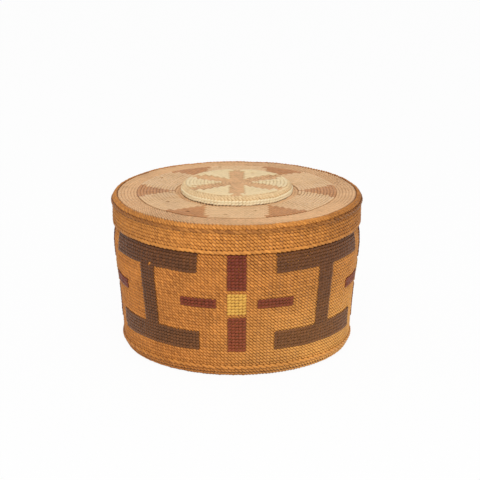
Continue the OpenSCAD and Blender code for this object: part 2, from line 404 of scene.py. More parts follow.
class Strand(Enum):
    """The strands of the weave and of its overlay."""

    ROOT = StrandFinish(
        "root_strand", "spruce_root", deep=(163, 98, 40), light=(231, 151, 70),
        groove=(112, 63, 24), worn_and_lit=(254, 189, 100), roughness=0.56, painted_lit_side=0.9)
    SKIRT = StrandFinish(
        "skirt_root_strand", "spruce_root", deep=(173, 108, 45), light=(243, 164, 77),
        groove=(116, 65, 25), worn_and_lit=(247, 183, 103), roughness=0.56, side_shade=0.27)
    DRUM = StrandFinish(
        "drum_root_strand", "spruce_root", deep=(226, 192, 142), light=(250, 222, 174),
        groove=(168, 128, 86), worn_and_lit=(255, 236, 200), roughness=0.6)
    EDGE = StrandFinish(
        "edge_strand", "spruce_root", deep=(172, 104, 42), light=(238, 157, 70),
        groove=(106, 58, 21), worn_and_lit=(246, 177, 92), roughness=0.52, painted_lit_side=0.7)
    RIDGE = StrandFinish(
        "ridge_strand", "spruce_root", deep=(142, 85, 34), light=(200, 130, 58),
        groove=(92, 50, 18), worn_and_lit=(224, 158, 80), roughness=0.52, side_shade=0.27)
    # The lid's top and the cap: a paler, greyer root, partly dust and partly painted sheen of the light
    # on the top.
    TOP = StrandFinish(
        "dust_and_sheen_root_strand", "spruce_root", deep=(209, 168, 124), light=(243, 194, 145),
        groove=(144, 100, 63), worn_and_lit=(252, 216, 170), roughness=0.6)
    LINING = StrandFinish(
        "lining_strand", "root_lining", deep=(184, 126, 72), light=(220, 162, 100),
        groove=(112, 70, 36), worn_and_lit=(230, 182, 124), roughness=0.62)
    DARK = StrandFinish(
        "dark_grass_strand", "dark_grass", deep=(83, 48, 25), light=(121, 73, 37),
        groove=(62, 37, 19), worn_and_lit=(180, 122, 66), roughness=0.45, streaks=7.0, painted_lit_side=0.2, low=0.1)
    RED = StrandFinish(
        "red_grass_strand", "red_grass", deep=(94, 35, 19), light=(131, 53, 30),
        groove=(74, 34, 20), worn_and_lit=(190, 106, 56), roughness=0.45, streaks=7.0, painted_lit_side=0.4, low=0.18)
    YELLOW = StrandFinish(
        "yellow_grass_strand", "yellow_grass", deep=(210, 159, 70), light=(238, 181, 80),
        groove=(137, 90, 36), worn_and_lit=(242, 210, 129), roughness=0.42, streaks=7.0)
    STRAW = StrandFinish(
        "straw_grass_strand", "straw_grass", deep=(222, 182, 136), light=(245, 203, 153),
        groove=(162, 120, 80), worn_and_lit=(255, 231, 187), roughness=0.42, streaks=7.0)
    PALE = StrandFinish(
        "pale_straw_strand", "straw_grass", deep=(232, 206, 158), light=(250, 225, 178),
        groove=(206, 176, 132), worn_and_lit=(255, 242, 212), roughness=0.42, streaks=7.0, soil_and_shade=0.35)
    # The drum's side: straw painted brighter than the cap's, with little groove darkening, as painted
    # light on an upright side that gets less light.
    BAND = StrandFinish(
        "painted_light_straw_strand", "straw_grass", deep=(246, 226, 182), light=(255, 240, 202),
        groove=(226, 200, 158), worn_and_lit=(255, 250, 232), roughness=0.42, streaks=7.0, soil_and_shade=0.3)
    FADED = StrandFinish(
        "faded_grass_strand", "faded_grass", deep=(184, 128, 81), light=(219, 155, 99),
        groove=(120, 75, 44), worn_and_lit=(234, 183, 129), roughness=0.45, streaks=7.0)


@dataclass(frozen=True)
class GrainFinish(Finish):
    """A fine grain in the object's own space, for what lies behind the stitches and in the drum."""

    roughness: float

    GRAIN: ClassVar[Cloud] = Cloud(900.0, 3.0, 0.6)
    LOW: ClassVar[float] = 0.3
    HIGH: ClassVar[float] = 0.7
    ROUGHER: ClassVar[float] = 0.15
    RELIEF: ClassVar[float] = 0.3
    RELIEF_DEPTH: ClassVar[float] = 0.1 * MM

    def build(self) -> bpy.types.Material:
        """Builds the material.

        Returns:
            The material.
        """
        tree, shader = self.start()
        grain = tree.cloud(tree.add("TexCoord").outputs["Object"], self.GRAIN)
        share = tree.ramp(grain, Span(self.LOW, self.HIGH))
        tree.feed(shader["Base Color"], tree.blend(share, linear(self.deep), linear(self.light)))
        rough = Span(self.LOW, self.HIGH, self.roughness, self.roughness + self.ROUGHER)
        tree.roughen(shader, grain, rough, self.RELIEF, self.RELIEF_DEPTH)
        return bpy.data.materials[self.name]


SPLINT = GrainFinish("split_splint", "splint", (104, 62, 30), (142, 92, 50), 0.6)
# Painted shade: the shell's dark brown stands for the shade deep in the gaps between the stitches.
HEART = GrainFinish("painted_shade_heart", "splint", (96, 54, 26), (124, 74, 38), 0.8)
PEBBLE = GrainFinish("water_worn_pebble", "stone", (86, 84, 80), (142, 136, 126), 0.45)


@dataclass(frozen=True)
class Weave:
    """Sizes that all the twining shares, in metres."""

    row: float = 1.9 * MM
    stitch: float = 2.15 * MM
    overlay_depth: float = 0.5 * MM


WEAVE = Weave()


@dataclass(frozen=True)
class Bead:
    """One stitch as a full bead: half its length, height and depth, and the slant of its length."""

    length: float
    height: float
    depth: float
    slant: float


class Lay(Enum):
    """How strands lie.

    Half their length and half their height are shares of their place, and their slant is in degrees.
    """

    TWINED = (0.8, 0.41, 38)
    OVERLAID = (0.68, 0.5, -28)
    ROPED = (0.78, 0.36, 20)
    BRAIDED = (0.8, 0.48, 18)
    EDGING = (0.85, 0.42, 20)

    def bead(self, pitch: float, rise: float, depth: float, side: int = 1) -> Bead:
        """A stitch that lies this way.

        Args:
            pitch: The width of its place along the row.
            rise: The height of its place.
            depth: Half its depth.
            side: 1, or -1 where it slants the other way.

        Returns:
            The stitch.
        """
        length, height, slant = self.value
        return Bead(length * pitch, height * rise, depth, side * math.radians(slant))


@dataclass(frozen=True)
class Row:
    """One round of stitches.

    The row's middle line has a radius and a height. climb is the direction in which the next row
    lies, in the plane through the axis: 0 points away from the axis and UP points up. The outer
    face of the fabric is a quarter turn before it.
    """

    r: float
    z: float
    climb: float
    count: int
    start: float = FRONT

    def pitch(self) -> float:
        """The width of a stitch's place."""
        return TURN * self.r / self.count

    def place(self, stitch: float, lift: float) -> Matrix:
        """Where a stitch lies.

        Args:
            stitch: The stitch, counted from the row's start.
            lift: How far it lies outside the row's middle line.

        Returns:
            A matrix whose axes run along the row, into the fabric and towards the next row.
        """
        turn = self.start + stitch * TURN / self.count
        away = Vector((math.cos(turn), math.sin(turn), 0.0))
        along = Vector((-math.sin(turn), math.cos(turn), 0.0))
        axis = Vector((0.0, 0.0, 1.0))
        climb = away * math.cos(self.climb) + axis * math.sin(self.climb)
        outward = away * math.sin(self.climb) - axis * math.cos(self.climb)
        spot = away * self.r + axis * self.z + outward * lift
        return Matrix.Translation(spot) @ Matrix((along, -outward, climb)).transposed().to_4x4()


class Face(Enum):
    """Which way the outer face of a flat round looks, as the direction its rows climb in."""

    DOWN = 0.0
    UP = math.pi


def ring_rows(face: Face, inner: float, outer: float, z: float, rows: int, multiple: int) -> list[Row]:
    """Rows on a flat round.

    Args:
        face: Which way its outer face looks.
        inner, outer: The radii that the rows lie between.
        z: The height of the rows' middle line.
        rows: How many rows there are.
        multiple: What the number of stitches in a row is a multiple of.

    Returns:
        The rows, from the middle outwards.
    """
    middles = (inner + (outer - inner) * (i + 0.5) / rows for i in range(rows))
    return [Row(r, z, face.value, even_count(r, multiple), 0.0) for r in middles]


def even_count(r: float, multiple: int) -> int:
    """How many stitches go round at a radius, as a multiple of a number."""
    return max(1, round(TURN * r / WEAVE.stitch / multiple)) * multiple


def bend_rows(r: float, z: float, radius: float, start: float, rows: int, count: int) -> list[Row]:
    """Rows round a bend of the fabric.

    Args:
        r, z: The middle of the bend, in the plane through the axis.
        radius: The bend's radius at the fabric's middle.
        start: The direction of the outer face where the bend starts. It turns anticlockwise.
        rows: How many rows there are.
        count: How many stitches each has.

    Returns:
        The rows, in order.
    """
    angles = (start + UP * (i + 0.5) / rows for i in range(rows))
    return [Row(r + radius * math.cos(a), z + radius * math.sin(a), a + UP, count) for a in angles]


def arc(r: float, z: float, radius: float, start: float, steps: int) -> list[tuple[float, float]]:
    """Points along a quarter of a circle in the plane through the axis.

    Args:
        r, z: The circle's centre.
        radius: Its radius.
        start: The angle of the first point. The others follow anticlockwise.
        steps: How many steps there are.

    Returns:
        Radius and height of each point.
    """
    angles = (start + UP * i / steps for i in range(steps + 1))
    return [(r + radius * math.cos(a), z + radius * math.sin(a)) for a in angles]


@dataclass(frozen=True)
class Wave:
    """A slow wave round the basket: its crests, how far it drifts with the level and its strength."""

    crests: int
    drift: float
    strength: float = 1.0

    def at(self, turn: np.ndarray, level: np.ndarray | float) -> np.ndarray:
        """The wave at some angles and levels."""
        return self.strength * np.sin(self.crests * turn + self.drift * level)


@dataclass(frozen=True)
class Hand:
    """How far hand-made rows wander from true rounds."""

    rises: tuple[Wave, ...] = (Wave(5, 0.9), Wave(11, -1.7), Wave(23, 1.0, 0.7))
    bulges: tuple[Wave, ...] = (Wave(2, 0.4), Wave(3, 2.0, 0.8), Wave(7, 0.0, 0.5))
    rise: float = 0.09 * MM
    bulge: float = 0.04 * MM
    level: float = 9 * MM
    calm_r: float = 20 * MM
    calm_z: float = 12 * MM

    def waver(self, places: np.ndarray) -> np.ndarray:
        """How far each place is shifted, the same for all that lies there.

        Args:
            places: Points in the object's space, with the axes in the last dimension.

        Returns:
            The shift of each point, with none near the axis and no rise near the ground.
        """
        x, y, z = np.moveaxis(places, -1, 0)
        turn = np.arctan2(y, x)
        reach = np.minimum(1.0, np.hypot(x, y) / self.calm_r)
        off_ground = np.clip(z / self.calm_z, 0.0, 1.0)
        out = self.bulge * sum(wave.at(turn, 1.0) for wave in self.bulges) * reach
        up = self.rise * sum(wave.at(turn, z / self.level) for wave in self.rises) * reach * off_ground
        return np.stack([out * np.cos(turn), out * np.sin(turn), up], axis=-1)


HAND = Hand()


def put(name: str, data: bpy.types.ID) -> bpy.types.Object:
    """Puts a mesh, a lamp or a camera into the scene.

    Args:
        name: The object's name.
        data: The mesh, lamp or camera.

    Returns:
        The object.
    """
    made = bpy.data.objects.new(name, data)
    bpy.context.scene.collection.objects.link(made)
    return made


def mesh_of(bm: bmesh.types.BMesh, name: str) -> bpy.types.Mesh:
    """Turns a bmesh into a mesh with smooth shading, and frees it.

    Args:
        bm: The bmesh.
        name: The mesh's name.

    Returns:
        The mesh.
    """
    mesh = bpy.data.meshes.new(name)
    bm.to_mesh(mesh)
    bm.free()
    mesh.shade_smooth()
    return mesh


def dress(mesh: bpy.types.Mesh, finish: Finish, body: str, *replaced: str) -> bpy.types.Object:
    """Makes a piece of a mesh and ties it to the frame.

    Args:
        mesh: The mesh, in its place.
        finish: The finish that it gets.
        body: The body that it moves with.
        replaced: The plain solids that it stands for.

    Returns:
        The piece.
    """
    piece = put(mesh.name, mesh)
    mesh.materials.append(finish.material())
    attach(piece, body)
    if replaced:
        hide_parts(*replaced)
    LOG.info("%s: %d faces on %s", mesh.name, len(mesh.polygons), body)
    return piece


class Roundness(Enum):
    """Sides and rings of one stitch: few where thousands lie together, more on ropes and braids."""

    STITCH = (8, 4)
    STRAND = (12, 6)


class Skein:
    """Gathers the stitches of one piece, row by row, and makes a piece of them."""

    LIE_DOWN = Matrix.Rotation(UP, 4, "Y")
    STRAND_SPAN = 37
    STRAND_SHARE = 0.5
    FULLNESS = 0.75
    UNEVEN = 0.06
    CELL_MARGIN = 0.06

    def __init__(self, name: str, jitter: float = 0.06 * MM,
                 roundness: Roundness = Roundness.STITCH) -> None:
        """Starts an empty skein.

        Args:
            name: The piece's name.
            jitter: How far a stitch strays from its place, at most.
            roundness: How finely a stitch is rounded.
        """
        self.name = name
        self.jitter = jitter
        self.sides, self.rings = roundness.value
        self.bm = bmesh.new()
        self.scratch = bpy.data.meshes.new("scratch")
        self.random = np.random.default_rng([SEED, *name.encode()])
        self.tones: list[np.ndarray] = []

    def run(self, row: Row, bead: Bead, first: int = 0, count: int | None = None,
            lift: float = 0.0) -> None:
        """Lays stitches side by side along a row.

        Args:
            row: The row that they lie in.
            bead: The shape of a stitch.
            first: The first stitch, counted from the row's start.
            count: How many there are, or None for the whole row.
            lift: How far they lie outside the row's middle line.
        """
        count = row.count if count is None else count
        stitch = bmesh.new()
        crown = stitch.verts.layers.float.new("crown")
        stitch.loops.layers.uv.new("Strand")
        bmesh.ops.create_uvsphere(stitch, u_segments=self.sides, v_segments=self.rings, radius=1.0,
                                  matrix=self.LIE_DOWN, calc_uvs=True)
        for vert in stitch.verts:
            vert[crown] = abs(vert.co.y)
            vert.co = Vector(math.copysign(abs(c) ** self.FULLNESS, c) for c in vert.co)
        bmesh.ops.scale(stitch, vec=(bead.length, bead.depth, bead.height), verts=stitch.verts)
        bmesh.ops.rotate(stitch, matrix=Matrix.Rotation(bead.slant, 3, "Y"), verts=stitch.verts)
        bmesh.ops.transform(stitch, matrix=row.place(first, lift), verts=stitch.verts)
        stitch.to_mesh(self.scratch)
        stitch.free()
        step = Matrix.Rotation(TURN / row.count, 4, "Z")
        for _ in range(count):
            self.bm.from_mesh(self.scratch)
            self.scratch.transform(step)
        self.tones.append(self.shades(count))

    def twine(self, rows: Iterable[Row], rise: float, thickness: float) -> None:
        """Fills rows with plain twining that goes right through the fabric.

        Args:
            rows: The rows.
            rise: The height of a row.
            thickness: The fabric's thickness.
        """
        for row in rows:
            self.run(row, Lay.TWINED.bead(row.pitch(), rise, thickness / 2))

    def knot(self, radius: float, z: float, thickness: float) -> None:
        """Closes the middle of a flat round with one full stitch.

        Args:
            radius: The stitch's radius.
            z: The height of its middle.
            thickness: The fabric's thickness.
        """
        self.run(Row(0.0, z, Face.DOWN.value, 1), Bead(radius, radius, thickness / 2, 0.0))

    def shades(self, count: int) -> np.ndarray:
        """Tones of a run: two strands take turns, and each is spliced to a new one now and then.

        Args:
            count: How many stitches the run has.

        Returns:
            A tone from 0 to 1 for each stitch.
        """
        spans = count // self.STRAND_SPAN + 2
        strands = self.random.random((2, spans))
        number = np.arange(count)
        start = self.random.integers(self.STRAND_SPAN)
        strand = strands[number % 2, (number + start) // self.STRAND_SPAN]
        return self.STRAND_SHARE * strand + (1 - self.STRAND_SHARE) * self.random.random(count)

    def piece(self, strand: Strand, body: str, *replaced: str) -> bpy.types.Object:
        """Turns the stitches into a finished piece.

        Args:
            strand: The strand that the stitches are made of.
            body: The body that the piece moves with.
            replaced: The plain solids that it stands for.

        Returns:
            The piece.
        """
        mesh = mesh_of(self.bm, self.name)
        bpy.data.meshes.remove(self.scratch)
        tones = np.concatenate(self.tones)
        self.stray(mesh, len(tones))
        tone = mesh.attributes.new("tone", "FLOAT", "FACE")
        tone.data.foreach_set("value", np.repeat(tones, self.sides * self.rings).astype(np.float32))
        self.lay_out(mesh, len(tones))
        return dress(mesh, strand.value, body, *replaced)

    def stray(self, mesh: bpy.types.Mesh, stitches: int) -> None:
        """Moves and swells each stitch a little, and lets the rows waver, as a hand does.

        Args:
            mesh: The piece's mesh.
            stitches: How many stitches it has.
        """
        places = np.empty(len(mesh.vertices) * 3, np.float32)
        mesh.vertices.foreach_get("co", places)
        places = places.reshape(stitches, -1, 3).astype(float)
        middles = places.mean(axis=1, keepdims=True)
        shift = self.random.uniform(-self.jitter, self.jitter, (stitches, 1, 3))
        size = self.random.uniform(1 - self.UNEVEN, 1 + self.UNEVEN, (stitches, 1, 1))
        moved = middles + (places - middles) * size + shift + HAND.waver(middles)
        mesh.vertices.foreach_set("co", moved.astype(np.float32).ravel())

    def lay_out(self, mesh: bpy.types.Mesh, stitches: int) -> None:
        """Gives each stitch a cell of its own in a second map, for baking.

        Args:
            mesh: The piece's mesh, with the strand map.
            stitches: How many stitches it has.
        """
        strand = np.empty(len(mesh.loops) * 2, np.float32)
        mesh.uv_layers["Strand"].uv.foreach_get("vector", strand)
        own = strand.reshape(stitches, -1, 2) * (1 - 2 * self.CELL_MARGIN) + self.CELL_MARGIN
        across = math.ceil(math.sqrt(stitches))
        number = np.arange(stitches)
        cells = np.stack([number % across, number // across], axis=1)[:, None, :]
        baked = mesh.uv_layers.new(name="OFBake")
        baked.uv.foreach_set("vector", ((own + cells) / across).astype(np.float32).ravel())


@dataclass(frozen=True)
class Heart:
    """Thin shell in the middle of the fabric, behind the stitches, dark as painted shade in the gaps
    between them.
    """

    thickness: float = 0.25 * MM
    steps: int = 96
    merge: float = 0.001 * MM

    def build(self, name: str, body: str, outline: list[tuple[float, float]]) -> None:
        """Turns an open outline about the axis into a closed shell.

        Args:
            name: The piece's name.
            body: The body that it moves with.
            outline: Radius and height of each corner.
        """
        bm = bmesh.new()
        corners = [bm.verts.new((r, 0.0, z)) for r, z in outline]
        edges = [bm.edges.new(pair) for pair in zip(corners, corners[1:])]
        bmesh.ops.spin(bm, geom=[*corners, *edges], axis=(0, 0, 1), angle=TURN, steps=self.steps,
                       use_merge=True)
        bmesh.ops.remove_doubles(bm, verts=bm.verts, dist=self.merge)
        bmesh.ops.recalc_face_normals(bm, faces=bm.faces)
        bmesh.ops.solidify(bm, geom=bm.faces, thickness=self.thickness)
        bmesh.ops.recalc_face_normals(bm, faces=bm.faces)
        dress(mesh_of(bm, name), HEART, body)


@dataclass(frozen=True)
class Ridge:
    """A raised round of long slanting strands, like a rope on the fabric's face."""

    pitch: float = 3.7 * MM
    depth_share: float = 0.4

    def build(self, node: str, strand: Strand, body: str) -> None:
        """Lays the strands in the place of a plain ridge.

        Args:
            node: The plain ridge.
            strand: The strand that they are made of.
            body: The body that they move with.
        """
        low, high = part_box(node)
        height = high.z - low.z
        depth = self.depth_share * height
        row = Row(high.y - depth, (low.z + high.z) / 2, UP, round(TURN * high.y / self.pitch))
        skein = Skein(node + "_strands", roundness=Roundness.STRAND)
        skein.run(row, Lay.ROPED.bead(self.pitch, height, depth))
        skein.piece(strand, body, node)


@dataclass
class WallPattern:
    """The wall's pattern in stitches and rows: crosses, and dark frames between them."""

    repeats: int = 4
    stitches: int = 208
    rows: int = 31
    bar_rows: int = 6
    bar_half: float = 15.5
    stem_half: float = 2.5
    centre_half: float = 2.5
    centre_rows_half: float = 3.5
    upright_half: float = 2.5
    upright_gap: int = 1
    cross_rows_half: float = 1.5
    cross_gap: int = 3
    cross_stitches: int = 10

    def node(self, row: int, stitch: int) -> str | None:
        """The piece of the pattern that covers a stitch.

        Args:
            row: The row, counted up from the pattern's middle row.
            stitch: The stitch, counted from the middle of the front cross.

        Returns:
            The name of the piece, or None where the wall is plain.
        """
        span = self.stitches // self.repeats
        from_cross = abs((stitch + span // 2) % span - span // 2)
        from_frame = abs(stitch % span - span // 2)
        level = abs(row)
        in_bar = level > self.rows / 2 - self.bar_rows
        if from_frame < (self.bar_half if in_bar else self.stem_half):
            return "dark_frames"
        if from_cross < self.centre_half and level < self.centre_rows_half:
            return "yellow_centres"
        if from_cross < self.upright_half and level > self.centre_rows_half + self.upright_gap:
            return "red_uprights"
        beyond = from_cross - self.centre_half - self.cross_gap
        if level < self.cross_rows_half and 0 < beyond < self.cross_stitches:
            return "red_crossbars"
        return None


@dataclass
class Overlay:
    """Lays grass over the stitches of some rows, as a pattern asks, and leaves out worn ones."""

    strands: dict[str, Strand]
    worn: float = 0.004
    skeins: dict[str, Skein] = field(init=False)
    random: np.random.Generator = field(init=False)

    def __post_init__(self) -> None:
        """Starts a skein for each piece of the pattern."""
        self.skeins = {name: Skein(name + "_stitches") for name in self.strands}
        self.random = np.random.default_rng([SEED, len(self.strands), WEAR_SEED])

    def lay(self, row: Row, rise: float, lift: float, node_at: NodeAt) -> None:
        """Covers one row.

        Args:
            row: The row.
            rise: The height of its stitches.
            lift: How far the overlay's middle lies outside the row's middle line.
            node_at: Gives the piece of the pattern that covers a stitch of the row.
        """
        lost = self.random.random(row.count) < self.worn
        names = [None if lost[i] else node_at(i) for i in range(row.count)]
        bead = Lay.OVERLAID.bead(row.pitch(), rise, WEAVE.overlay_depth)
        for name, group in groupby(range(row.count), key=names.__getitem__):
            stitches = list(group)
            if name is not None:
                self.skeins[name].run(row, bead, stitches[0], len(stitches), lift)

    def pieces(self, body: str) -> None:
        """Makes a piece of each skein, in place of the plain solid of the same name."""
        for name, skein in self.skeins.items():
            skein.piece(self.strands[name], body, name)


@dataclass
class Basket:
    """The basket: its base, the turn, the wall with its pattern, the ridge and the rim."""

    thickness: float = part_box("base_inner_weft")[1].z
    base_r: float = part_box("base_outer_weft")[1].x
    mouth_r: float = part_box("rim_braid")[1].y
    collar_z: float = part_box("skirt_edge_braid")[0].z
    rim_z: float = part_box("rim_braid")[0].z
    rim_top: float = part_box("rim_braid")[1].z
    pattern_z: float = (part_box("dark_frames")[0].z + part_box("dark_frames")[1].z) / 2
    turn: float = 5.5 * MM
    swell: float = 2.1 * MM
    swell_power: int = 4
    base_start: float = 1.2 * MM
    base_rows: int = 33
    base_multiple: int = 4
    base_jitter: float = 0.02 * MM
    turn_rows: int = 3
    rim_pitch: float = 2.9 * MM
    heart_lap: float = 2.1 * MM
    heart_steps: int = 6
    pattern: WallPattern = field(default_factory=WallPattern)

    def wall_r(self, z: float) -> float:
        """Radius of the wall's outer face at a height.

        Args:
            z: The height.

        Returns:
            The radius, on a line from foot to mouth that swells under the lid's edge.
        """
        climbed = min(1.0, (z - self.turn) / (self.collar_z - self.turn))
        power = self.swell_power
        share = climbed ** power * (1 - climbed) * (power + 1) ** (power + 1) / power ** power
        foot_r = self.base_r + self.turn
        return foot_r + (self.mouth_r - foot_r) * climbed + self.swell * share

    def wall_rows(self) -> list[Row]:
        """Rows of the wall from the turn to the rim, with the pattern's middle row on one of them.

        Returns:
            The rows, from below.
        """
        below = round((self.pattern_z - self.turn) / WEAVE.row - 0.5)
        above = round((self.rim_z - self.pattern_z) / WEAVE.row - 0.5)
        half = WEAVE.row / 2
        rows = []
        for i in range(-below, above + 1):
            z = self.pattern_z + i * WEAVE.row
            climb = math.atan2(WEAVE.row, self.wall_r(z + half) - self.wall_r(z - half))
            rows.append(Row(self.wall_r(z) - self.thickness / 2, z, climb, self.pattern.stitches))
        return rows

    def build(self) -> None:
        """Makes all the basket's pieces."""
        self.build_base()
        self.build_wall()
        self.build_pattern()
        Ridge().build("base_ridge", Strand.EDGE, "basket")
        self.build_rim()
        self.build_heart()

    def build_base(self) -> None:
        """Twined rounds of the base, closed by a knot in the middle."""
        half = self.thickness / 2
        base = Skein("base_weave", self.base_jitter)
        rows = ring_rows(Face.DOWN, self.base_start, self.base_r, half, self.base_rows,
                         self.base_multiple)
        base.twine(rows, (self.base_r - self.base_start) / self.base_rows, self.thickness)
        base.knot(self.base_start, half, self.thickness)
        base.piece(Strand.ROOT, "basket", "base_outer_weft", "base_inner_weft")

    def build_wall(self) -> None:
        """Twined rows of the turn and the wall, in a low, a middle and a high piece."""
        turn = bend_rows(self.base_r, self.turn, self.turn - self.thickness / 2, FRONT, self.turn_rows,
                         self.pattern.stitches)
        rows = turn + self.wall_rows()
        names = ("wall_weave_low", "wall_weave_middle", "wall_weave_high")
        share = math.ceil(len(rows) / len(names))
        for i, name in enumerate(names):
            skein = Skein(name)
            skein.twine(rows[i * share:(i + 1) * share], WEAVE.row, self.thickness)
            skein.piece(Strand.ROOT, "basket", "wall_outer_weft", "wall_inner_weft")

    def build_pattern(self) -> None:
        """Grass overlay on the wall's pattern rows."""
        overlay = Overlay({"dark_frames": Strand.DARK, "red_uprights": Strand.RED,
                           "red_crossbars": Strand.RED, "yellow_centres": Strand.YELLOW})
        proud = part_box("yellow_centres")[1]
        overlay_t = proud.x - self.wall_r(proud.z)
        lift = self.thickness / 2 + overlay_t - WEAVE.overlay_depth
        for row in self.wall_rows():
            level = round((row.z - self.pattern_z) / WEAVE.row)
            if abs(level) < self.pattern.rows / 2:
                overlay.lay(row, WEAVE.row, lift, partial(self.pattern.node, level))
        overlay.pieces("basket")

    def build_rim(self) -> None:
        """Herringbone braid on the rim: two rows that slant towards each other."""
        rim = Skein("rim_braid_strands", roundness=Roundness.STRAND)
        rise = (self.rim_top - self.rim_z) / 2
        r = self.mouth_r - self.thickness / 2
        count = round(TURN * r / self.rim_pitch)
        for i, side in enumerate((-1, 1)):
            row = Row(r, self.rim_z + (i + 0.5) * rise, UP, count, FRONT + i * UP / count)
            rim.run(row, Lay.BRAIDED.bead(self.rim_pitch, rise, self.thickness / 2, side))
        rim.piece(Strand.EDGE, "basket", "rim_braid")

    def build_heart(self) -> None:
        """The fabric's heart from the base round the turn and up the wall."""
        half = self.thickness / 2
        Heart().build("basket_heart", "basket", [
            (self.base_start, half),
            *arc(self.base_r, self.turn, self.turn - half, FRONT, self.heart_steps),
            *((row.r, row.z) for row in self.wall_rows()),
            (self.mouth_r - half, self.rim_z + self.heart_lap),
        ])


@dataclass
class Lid:
    """The lid: skirt, shoulder, top with its ring of straw work, drum, cap and rattle floor."""

    r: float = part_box("skirt_outer_weft")[1].y
    top_z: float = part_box("lid_top_outer_weft")[1].z
    edge_low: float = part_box("skirt_edge_braid")[0].z
    edge_top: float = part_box("skirt_edge_braid")[1].z
    drum_r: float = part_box("drum_outer_weft")[1].y
    cap_z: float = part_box("cap_outer_weft")[1].z
    thickness: float = top_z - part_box("rattle_floor")[1].z
    overlay_t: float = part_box("lid_straw_ring")[1].z - top_z
    bend: float = 2.6 * MM
    bend_rounds: int = 2
    points: int = 6
    ring_gap_rows: int = 2
    ring_steps: int = 6
    rows_a_step: int = 2
    point_step: float = math.radians(2.2)
    petal_step: float = math.radians(4.8)
    petal_steps: int = 5
    petal_in: float = 9 * MM
    skirt_count: int = 216
    edge_pitch: float = 3.0 * MM
    drum_count: int = 96
    drum_side_rows: int = 2
    cap_rows: int = 14
    cap_start: float = 1.2 * MM
    floor_start: float = 1.2 * MM
    floor_rows: int = 19
    floor_multiple: int = 4
    floor_jitter: float = 0.03 * MM
    heart_steps: int = 4

    def top_rows(self) -> list[Row]:
        """Rows of the flat top, from the drum to the shoulder.

        Returns:
            The rows, from the drum outwards.
        """
        rows = round((self.r - self.bend - self.drum_r) / WEAVE.row)
        outer = self.drum_r + rows * WEAVE.row
        middle = self.top_z - self.thickness / 2
        return ring_rows(Face.UP, self.drum_r, outer, middle, rows, self.points)

    def drum_rise(self) -> float:
        """Height of one row of the drum's side."""
        return (self.cap_z - self.bend - self.top_z) / self.drum_side_rows

    def drum_rows(self) -> list[Row]:
        """Rows of the drum's side, from the lid's top to the bend."""
        middles = (self.top_z + (i + 0.5) * self.drum_rise() for i in range(self.drum_side_rows))
        return [Row(self.drum_r - self.thickness / 2, z, UP, self.drum_count, 0.0) for z in middles]

    def cap_rise(self) -> float:
        """Width of one row of the cap."""
        return (self.drum_r - self.bend - self.petal_in) / (self.petal_steps * self.rows_a_step)

    def cap_round(self) -> list[Row]:
        """Rows of the cap.

        Returns:
            The rows, from the middle outwards.
        """
        outer = self.drum_r - self.bend
        inner = outer - self.cap_rows * self.cap_rise()
        middle = self.cap_z - self.thickness / 2
        return ring_rows(Face.UP, inner, outer, middle, self.cap_rows, self.points)

    def bend_rise(self) -> float:
        """Width of one row on a bend's outer face."""
        return UP * self.bend / self.bend_rounds

    def bend_at(self, r: float, z: float) -> tuple[float, float, float, float]:
        """Where the fabric bends inwards.

        Args:
            r: The radius of its upright face.
            z: The height of its flat face.

        Returns:
            Radius and height of the bend's middle, its own radius, and the direction that it starts in.
        """
        return r - self.bend, z - self.bend, self.bend - self.thickness / 2, 0.0

    def build(self) -> None:
        """Makes all the lid's pieces."""
        self.build_skirt()
        self.build_top()
        self.build_drum()
        self.build_pattern()
        Ridge().build("shoulder_ridge", Strand.RIDGE, "lid")
        self.build_edge()
        self.build_floor()
        self.build_heart()

    def build_skirt(self) -> None:
        """Twined rows of the skirt and the shoulder."""
        height = self.top_z - self.bend - self.edge_top
        count = round(height / WEAVE.row)
        rise = height / count
        middles = (self.edge_top + (i + 0.5) * rise for i in range(count))
        rows = [Row(self.r - self.thickness / 2, z, UP, self.skirt_count) for z in middles]
        shoulder = bend_rows(*self.bend_at(self.r, self.top_z), self.bend_rounds, self.skirt_count)
        skirt = Skein("skirt_weave")
        skirt.twine(rows, rise, self.thickness)
        skirt.twine(shoulder, self.bend_rise(), self.thickness)
        skirt.piece(Strand.SKIRT, "lid", "skirt_outer_weft", "lid_inner_weft")

    def build_top(self) -> None:
        """Twined rounds of the lid's flat top."""
        top = Skein("lid_top_weave")
        top.twine(self.top_rows(), WEAVE.row, self.thickness)
        top.piece(Strand.TOP, "lid", "lid_top_outer_weft", "lid_inner_weft")

    def build_drum(self) -> None:
        """Twined rows of the drum's side, its bend and the cap."""
        bend = bend_rows(*self.bend_at(self.drum_r, self.cap_z), self.bend_rounds, self.drum_count)
        drum = Skein("drum_weave")
        drum.twine(self.drum_rows(), self.drum_rise(), self.thickness)
        drum.twine(bend, self.bend_rise(), self.thickness)
        drum.piece(Strand.DRUM, "lid", "drum_outer_weft", "lid_inner_weft")
        cap = Skein("cap_weave")
        cap.twine(self.cap_round(), self.cap_rise(), self.thickness)
        cap.piece(Strand.TOP, "lid", "cap_outer_weft", "lid_inner_weft")

    def stepped(self, row: Row, half: float, inside: str, outside: str | None) -> NodeAt:
        """How a row crosses the points of the ring or the petals of the cap.

        Args:
            row: The row.
            half: Half the angle that a point or petal takes up in it.
            inside, outside: The pieces that cover a point or petal, and the rest.

        Returns:
            What gives the piece that covers a stitch.
        """
        span = TURN / self.points

        def node_at(stitch: int) -> str | None:
            """The piece that covers a stitch."""
            off = abs((stitch * TURN / row.count + span / 2) % span - span / 2)
            return inside if off < half else outside

        return node_at

